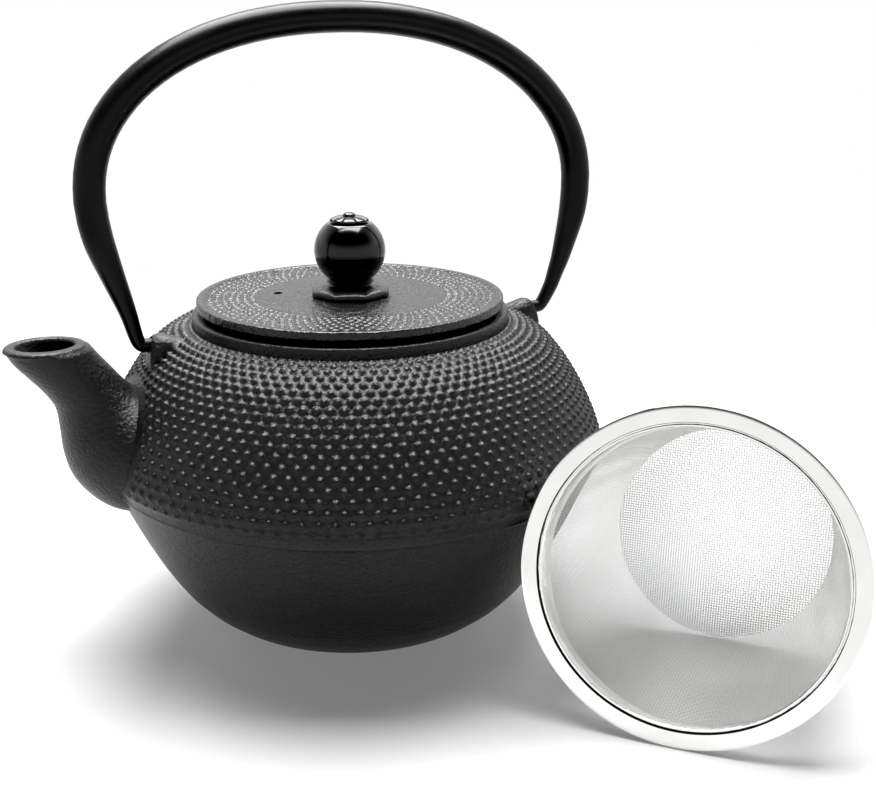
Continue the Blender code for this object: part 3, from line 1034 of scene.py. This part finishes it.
BAND_DEPTH = 6.4 * MM
BAND_SLANT = 3.2 * MM
DEEP_SIDE = math.radians(126)
SEAM = 0.45 * MM
FLANGE_TOP = 1.15 * MM
FLANGE_BOTTOM = 1.45 * MM
WALL_PITCH = 0.82 * MM
WALL_WIRE = 0.2 * MM
FLOOR_PITCH = 0.82 * MM
FLOOR_WIRE = 0.44 * MM
WIRE_THICKNESS = 0.1 * MM
FLOOR_WEAVE = 0.025 * MM


def centre_of(node):
    low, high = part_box(node)
    return (low + high) / 2


class Basket:
    """The infuser's own axes, read from its rim and foot: local +Z faces out of the mouth."""

    def __init__(self):
        rim, foot = centre_of("infuser_rim"), centre_of("infuser_base")
        self.facing = (rim - foot).normalized()
        turn = self.facing.to_track_quat("Z", "Y").to_matrix().to_4x4()
        self.thickness = self.span("infuser_rim", rim)[1] * 2
        self.origin = rim + self.facing * self.thickness / 2
        self.matrix = Matrix.Translation(self.origin) @ turn
        self.rim_radius = self.span("infuser_rim", rim)[0]
        self.band_radius = self.span("infuser_band", rim)[0]
        wall = self.local("infuser_wall")
        self.depth = -min(p.z for p in wall)
        self.foot_radius = max(p.xy.length for p in wall if p.z < -self.depth + 0.1 * MM)

    def cone(self, depth):
        """The gauze wall's radius at this depth, before its dents."""
        top = self.band_radius + 0.1 * MM
        return top + (self.foot_radius - 0.3 * MM - top) * depth / self.depth

    def span(self, node, centre):
        offsets = [v.co - centre for v in frame["nodes"][node].data.vertices]
        along = [o.dot(self.facing) for o in offsets]
        across = [(o - self.facing * a).length for o, a in zip(offsets, along)]
        return max(across), max(along)

    def local(self, node):
        back = self.matrix.inverted()
        return [back @ v.co for v in frame["nodes"][node].data.vertices]


def place_infuser(obj, basket, node, angle=40):
    obj.data.transform(basket.matrix)
    if angle:
        smooth(obj, angle)
    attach(obj, "infuser")
    if node:
        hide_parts(node)


def paint_seam_shade(obj, seam_shade_paint, low_radius, high_radius):
    """Paints shade on the faces that line the seam between ring and band: a dark finish where the gap lies
    in shade.
    """
    obj.data.materials.append(seam_shade_paint)
    for face in obj.data.polygons:
        radius = face.center.xy.length
        if low_radius < radius < high_radius and face.center.z > -FLANGE_TOP:
            face.material_index = 1


def build_infuser_ring(basket, finish, seam_shade_paint):
    radius = basket.rim_radius
    hole = basket.band_radius + SEAM
    t = basket.thickness
    profile = [
        (hole + 0.12 * MM, 0.0),
        (hole + 0.6 * MM, 0.0),
        (radius - 1.2 * MM, 0.0),
        (radius - 0.5 * MM, 0.0),
        (radius - 0.15 * MM, -0.15 * MM),
        (radius, -t / 2),
        (radius - 0.15 * MM, -t + 0.15 * MM),
        (radius - 0.5 * MM, -t),
        (hole + 0.12 * MM, -t),
        (hole, -t + 0.12 * MM),
        (hole, -0.12 * MM),
    ]
    ring = turned_solid("infuser_ring", profile, 160, finish)
    # Painted shade: the ring's faces at the seam take the dark finish that stands for the gap's shade.
    paint_seam_shade(ring, seam_shade_paint, 0.0, hole + 0.08 * MM)
    place_infuser(ring, basket, "infuser_rim")


def build_infuser_band(basket, finish, seam_shade_paint):
    """The plain band inside the gauze: a lip at the seam, a flange under the ring, a slanting edge."""

    def skin(depth, inset):
        return (basket.cone(depth) - inset, -depth)

    flange = basket.band_radius + SEAM + 0.15 * MM
    profile = [
        skin(0.2 * MM, 0.75 * MM),
        skin(0.2 * MM, 0.25 * MM),
        skin(0.4 * MM, 0.15 * MM),
        skin(FLANGE_TOP, 0.15 * MM),
        (flange, -FLANGE_TOP),
        (flange, -FLANGE_BOTTOM),
        skin(FLANGE_BOTTOM, 0.2 * MM),
        skin(BAND_DEPTH, 0.3 * MM),
        skin(BAND_DEPTH + 0.15 * MM, 0.4 * MM),
        skin(BAND_DEPTH, 0.65 * MM),
        skin(0.4 * MM, 0.85 * MM),
    ]
    band = turned_solid("infuser_collar", profile, 240, finish)
    for vertex in band.data.vertices:
        place = vertex.co
        if -place.z > BAND_DEPTH / 2:
            theta = math.atan2(place.y, place.x)
            uneven = 0.4 * math.sin(3 * theta + 1) + 0.3 * math.sin(8 * theta)
            shift = BAND_SLANT * math.cos(theta - DEEP_SIDE) + uneven * MM
            place.xy *= basket.cone(shift - place.z) / basket.cone(-place.z)
            place.z -= shift
    lip = basket.cone(0.0) - 0.4 * MM
    # Painted shade: the band's faces at the seam take the dark finish that stands for the gap's shade.
    paint_seam_shade(band, seam_shade_paint, lip, flange)
    place_infuser(band, basket, "infuser_band")


def wires(name, paths, width, finish, closed=False):
    """A flat wire along each path. A path is two arrays: points, and each point's outward direction."""
    corners, faces, total = [], [], 0
    for points, outward in paths:
        along = np.roll(points, -1, 0) - np.roll(points, 1, 0) if closed else np.gradient(points, axis=0)
        across = np.cross(along, outward)
        across *= width / 2 / np.linalg.norm(across, axis=1, keepdims=True)
        out = outward * WIRE_THICKNESS / 2
        four = [points + across + out, points - across + out, points - across - out, points + across - out]
        corners.append(np.stack(four, 1).reshape(-1, 3))
        length = len(points)
        step = np.arange(length if closed else length - 1)[:, None]
        k = np.arange(4)
        here = total + 4 * step
        ahead = total + 4 * ((step + 1) % length)
        turn = (k + 1) % 4
        faces.append(np.stack([here + k, here + turn, ahead + turn, ahead + k], -1).reshape(-1, 4))
        if not closed:
            last = total + 4 * (length - 1)
            faces.append(np.array([total + k[::-1], last + k]))
        total += 4 * length
    mesh = bpy.data.meshes.new(name)
    mesh.from_pydata(np.concatenate(corners).tolist(), [], np.concatenate(faces).tolist())
    mesh.materials.append(finish)
    return new_object(name, mesh)


def gauze_point(basket, theta, depth, lift):
    """Points of the gauze wall, softly dented like hand-rolled mesh, and their outward directions."""
    share = depth / basket.depth
    wobble = 0.4 * np.sin(3 * theta + 1.1) + 0.3 * np.sin(5 * theta + 0.4) + 0.22 * np.sin(9 * theta)
    creases = 0.12 * np.sin(23 * theta + 3 * share)
    dent = (wobble + creases) * MM * np.sin(np.pi * share) ** 2
    out = np.stack([np.cos(theta), np.sin(theta), np.zeros_like(theta)], -1)
    point = out * (basket.cone(depth) + dent + lift)[..., None]
    point[..., 2] = -depth
    return point, out


def build_infuser_wall(basket, finish):
    """Plain weave: each lengthwise wire passes over and under the hoops in turn."""
    start = FLANGE_BOTTOM + 0.2 * MM
    end = basket.depth - 0.1 * MM
    mean_radius = (basket.band_radius + basket.foot_radius) / 2
    columns = 2 * int(TAU * mean_radius / WALL_PITCH / 2)
    hoops = int((end - start) / WALL_PITCH)
    column, hoop = np.meshgrid(np.arange(columns), np.arange(hoops), indexing="ij")
    theta = TAU * column / columns
    depth = start + (end - start) * hoop / (hoops - 1)
    weave = (1 - 2.0 * ((column + hoop) % 2)) * WIRE_THICKNESS / 2
    points, outward = gauze_point(basket, theta, depth, weave)
    mesh = wires("infuser_mesh_lengthwise", zip(points, outward), WALL_WIRE, finish)
    place_infuser(mesh, basket, "infuser_wall", 0)
    points, outward = gauze_point(basket, theta, depth, -weave)
    points, outward = points.transpose(1, 0, 2), outward.transpose(1, 0, 2)
    mesh = wires("infuser_mesh_hoops", zip(points, outward), WALL_WIRE, finish, True)
    place_infuser(mesh, basket, None, 0)


def build_infuser_floor(basket, finish):
    """The round bottom, slightly bulged: a plain weave trimmed to the foot."""
    radius = basket.foot_radius - 0.25 * MM
    count = int(radius / FLOOR_PITCH)
    for name, node in (("across", "infuser_base"), ("upright", None)):
        paths = []
        for row in range(-count, count + 1):
            offset = row * FLOOR_PITCH
            reach = math.sqrt(radius**2 - offset**2)
            most = int(reach / FLOOR_PITCH)
            steps = np.arange(-most, most + 1)
            along = np.concatenate([[-reach - 0.01 * MM], steps * FLOOR_PITCH, [reach + 0.01 * MM]])
            lift = np.concatenate([[0], 1 - 2.0 * ((row + steps) % 2), [0]]) * FLOOR_WEAVE
            across = np.full_like(along, offset)
            height = -basket.depth + 0.15 * MM + 0.8 * MM * (1 - (along**2 + offset**2) / radius**2)
            if node:
                points = np.stack([along, across, height + lift], -1)
            else:
                points = np.stack([across, along, height - lift], -1)
            paths.append((points, np.tile([0.0, 0.0, 1.0], (len(along), 1))))
        mesh = wires(f"infuser_floor_{name}", paths, FLOOR_WIRE, finish)
        place_infuser(mesh, basket, node, 0)


# ---- stage, lights and camera


def build_stage():
    """A pale floor that fades into the white surroundings, glowing with painted light that lightens the
    shadow under the pot.
    """
    mesh = bpy.data.meshes.new("floor")
    size = 0.6
    corners = [(-size, -size), (size, -size), (size, size), (-size, size)]
    mesh.from_pydata([(x, y, -0.02 * MM) for x, y in corners], [], [(0, 1, 2, 3)])
    floor = new_object("floor", mesh)
    n = Nodes("floor_white")
    cloud = n.noise(0.4, 2.0)
    color = n.mix(cloud, (FLOOR_TONE,) * 3, (FLOOR_TONE * 1.03,) * 3)
    distance = n.add("ShaderNodeVectorMath", {0: n.coords}, operation="LENGTH").outputs["Value"]
    alpha = n.spread(distance, 1.0, 0.0, 0.28, 0.5)
    # Painted light: the floor glows, strongest near the pot, which lifts the shadows there.
    shadow_lift_glow = n.spread(distance, NEAR_FLOOR_PAINTED_GLOW, FAR_FLOOR_PAINTED_GLOW, 0.035, 0.15)
    n.set(Base_Color=color, Roughness=0.8, Specular_IOR_Level=0.1, Alpha=alpha)
    mesh.materials.append(n.set(Emission_Color=(1.0, 1.0, 1.0), Emission_Strength=shadow_lift_glow))


def build_lamp():
    """One large soft lamp above and behind the pot."""
    data = bpy.data.lights.new("top_softbox", "AREA")
    data.shape = "RECTANGLE"
    data.size = 0.85
    data.size_y = 0.8
    data.energy = 34.0
    place = Vector((0.07, 0.17, 0.92))
    lamp = new_object("top_softbox", data)
    lamp.location = place
    facing = Vector((0.0, 0.0, 0.08)) - place
    lamp.rotation_euler = facing.to_track_quat("-Z", "Y").to_euler()


BACKDROP = Vector((0.3815, 0.9244, 0.0))


def build_world():
    """A white studio: a bright backdrop, and on the camera's side a bright band along the horizon
    with dimness above and below it. The camera itself sees plain white."""
    world = bpy.data.worlds.new("studio")
    bpy.context.scene.world = world
    world.use_nodes = True
    tree = world.node_tree

    def add(kind, inputs, **settings):
        return add_node(tree, kind, inputs, **settings)

    def ramp(value, low, high, out_low, out_high):
        inputs = dict(zip(RANGE_SOCKETS, (value, low, high, out_low, out_high)))
        return add("ShaderNodeMapRange", inputs, interpolation_type="SMOOTHSTEP").outputs[0]

    way = tree.nodes.new("ShaderNodeTexCoord").outputs["Generated"]
    behind = add("ShaderNodeVectorMath", {0: way, 1: BACKDROP}, operation="DOT_PRODUCT").outputs["Value"]
    height = add("ShaderNodeSeparateXYZ", {0: way}).outputs["Z"]
    below = ramp(height, -0.3, -0.2, 0.0, 1.0)
    above = ramp(height, 0.14, 0.5, 1.0, 0.0)
    lit = add("ShaderNodeMath", {0: below, 1: above}, operation="MULTIPLY").outputs[0]
    front = add("ShaderNodeMix", {0: lit, 2: FRONT_GLOW, 3: BAND_GLOW}).outputs[0]
    back = ramp(height, 0.0, 0.25, 1.0, BACK_GLOW)
    overhead = ramp(height, 0.4, 0.8, 1.0, 0.5)
    back = add("ShaderNodeMath", {0: back, 1: overhead}, operation="MULTIPLY").outputs[0]
    share = ramp(behind, -0.25, 0.35, 0.0, 1.0)
    mixed = add("ShaderNodeMix", {0: share, 2: front, 3: back}).outputs[0]
    camera = tree.nodes.new("ShaderNodeLightPath").outputs["Is Camera Ray"]
    seen = add("ShaderNodeMix", {0: camera, 2: mixed, 3: 1.0}).outputs[0]
    shader = tree.nodes["Background"]
    tree.links.new(seen, shader.inputs["Strength"])
    shader.inputs["Color"].default_value = (1.0, 1.0, 1.0, 1.0)


def build_camera():
    data = bpy.data.cameras.new("camera")
    data.sensor_width = 36.0
    data.lens = 53.42
    data.clip_start = 0.01
    camera = new_object("camera", data)
    camera.location = (-0.1309, -0.3912, 0.2063)
    looking = Vector((0.3638, 0.8812, -0.3020))
    camera.rotation_mode = "QUATERNION"
    camera.rotation_quaternion = looking.to_track_quat("-Z", "Y")
    bpy.context.scene.camera = camera


def main():
    iron = cast_iron()
    gloss = gloss_black()
    sheet = stainless("stainless_sheet", 0.12, 0.2)
    band = stainless("stainless_band", 0.12, 0.22, dents=0.35)
    # Painted shade: a dark, dull steel that stands for the shade in the gap between the infuser's ring and
    # band.
    seam_shade_paint = stainless("painted_seam_shade", 0.5, 0.7, (0.02, 0.018, 0.016))
    # One stainless gauze in two tones: darker on the wall (painted shade) and lighter on the floor
    # (painted light), which sets how bright each looks.
    gauze = stainless("gauze_painted_shade", 0.31, 0.42, (0.66, 0.66, 0.65))
    floor_gauze = stainless("floor_gauze_painted_light", 0.31, 0.42, (0.9, 0.9, 0.89))
    build_pot(iron, enamel_inside())
    build_handle(satin_black())
    build_lid(lid_iron())
    build_knob_foot(dull_black())
    build_knob_grip(gloss)
    build_knob_flower(gloss)
    build_knob_screw(gloss)
    hardware = stainless("plated_steel", 0.25, 0.4, (0.6, 0.6, 0.6))
    for node in ("lid_washer", "lid_nut"):
        refinish(frame["nodes"][node], hardware)
    basket = Basket()
    build_infuser_ring(basket, sheet, seam_shade_paint)
    build_infuser_band(basket, band, seam_shade_paint)
    build_infuser_wall(basket, gauze)
    build_infuser_floor(basket, floor_gauze)
    build_stage()
    build_world()
    build_lamp()
    build_camera()
    view = bpy.context.scene.view_settings
    view.view_transform = "Standard"
    view.gamma = 0.86
    view.use_curve_mapping = True
    view.curve_mapping.black_level = (BLACK_LEVEL,) * 3
    view.curve_mapping.update()


main()
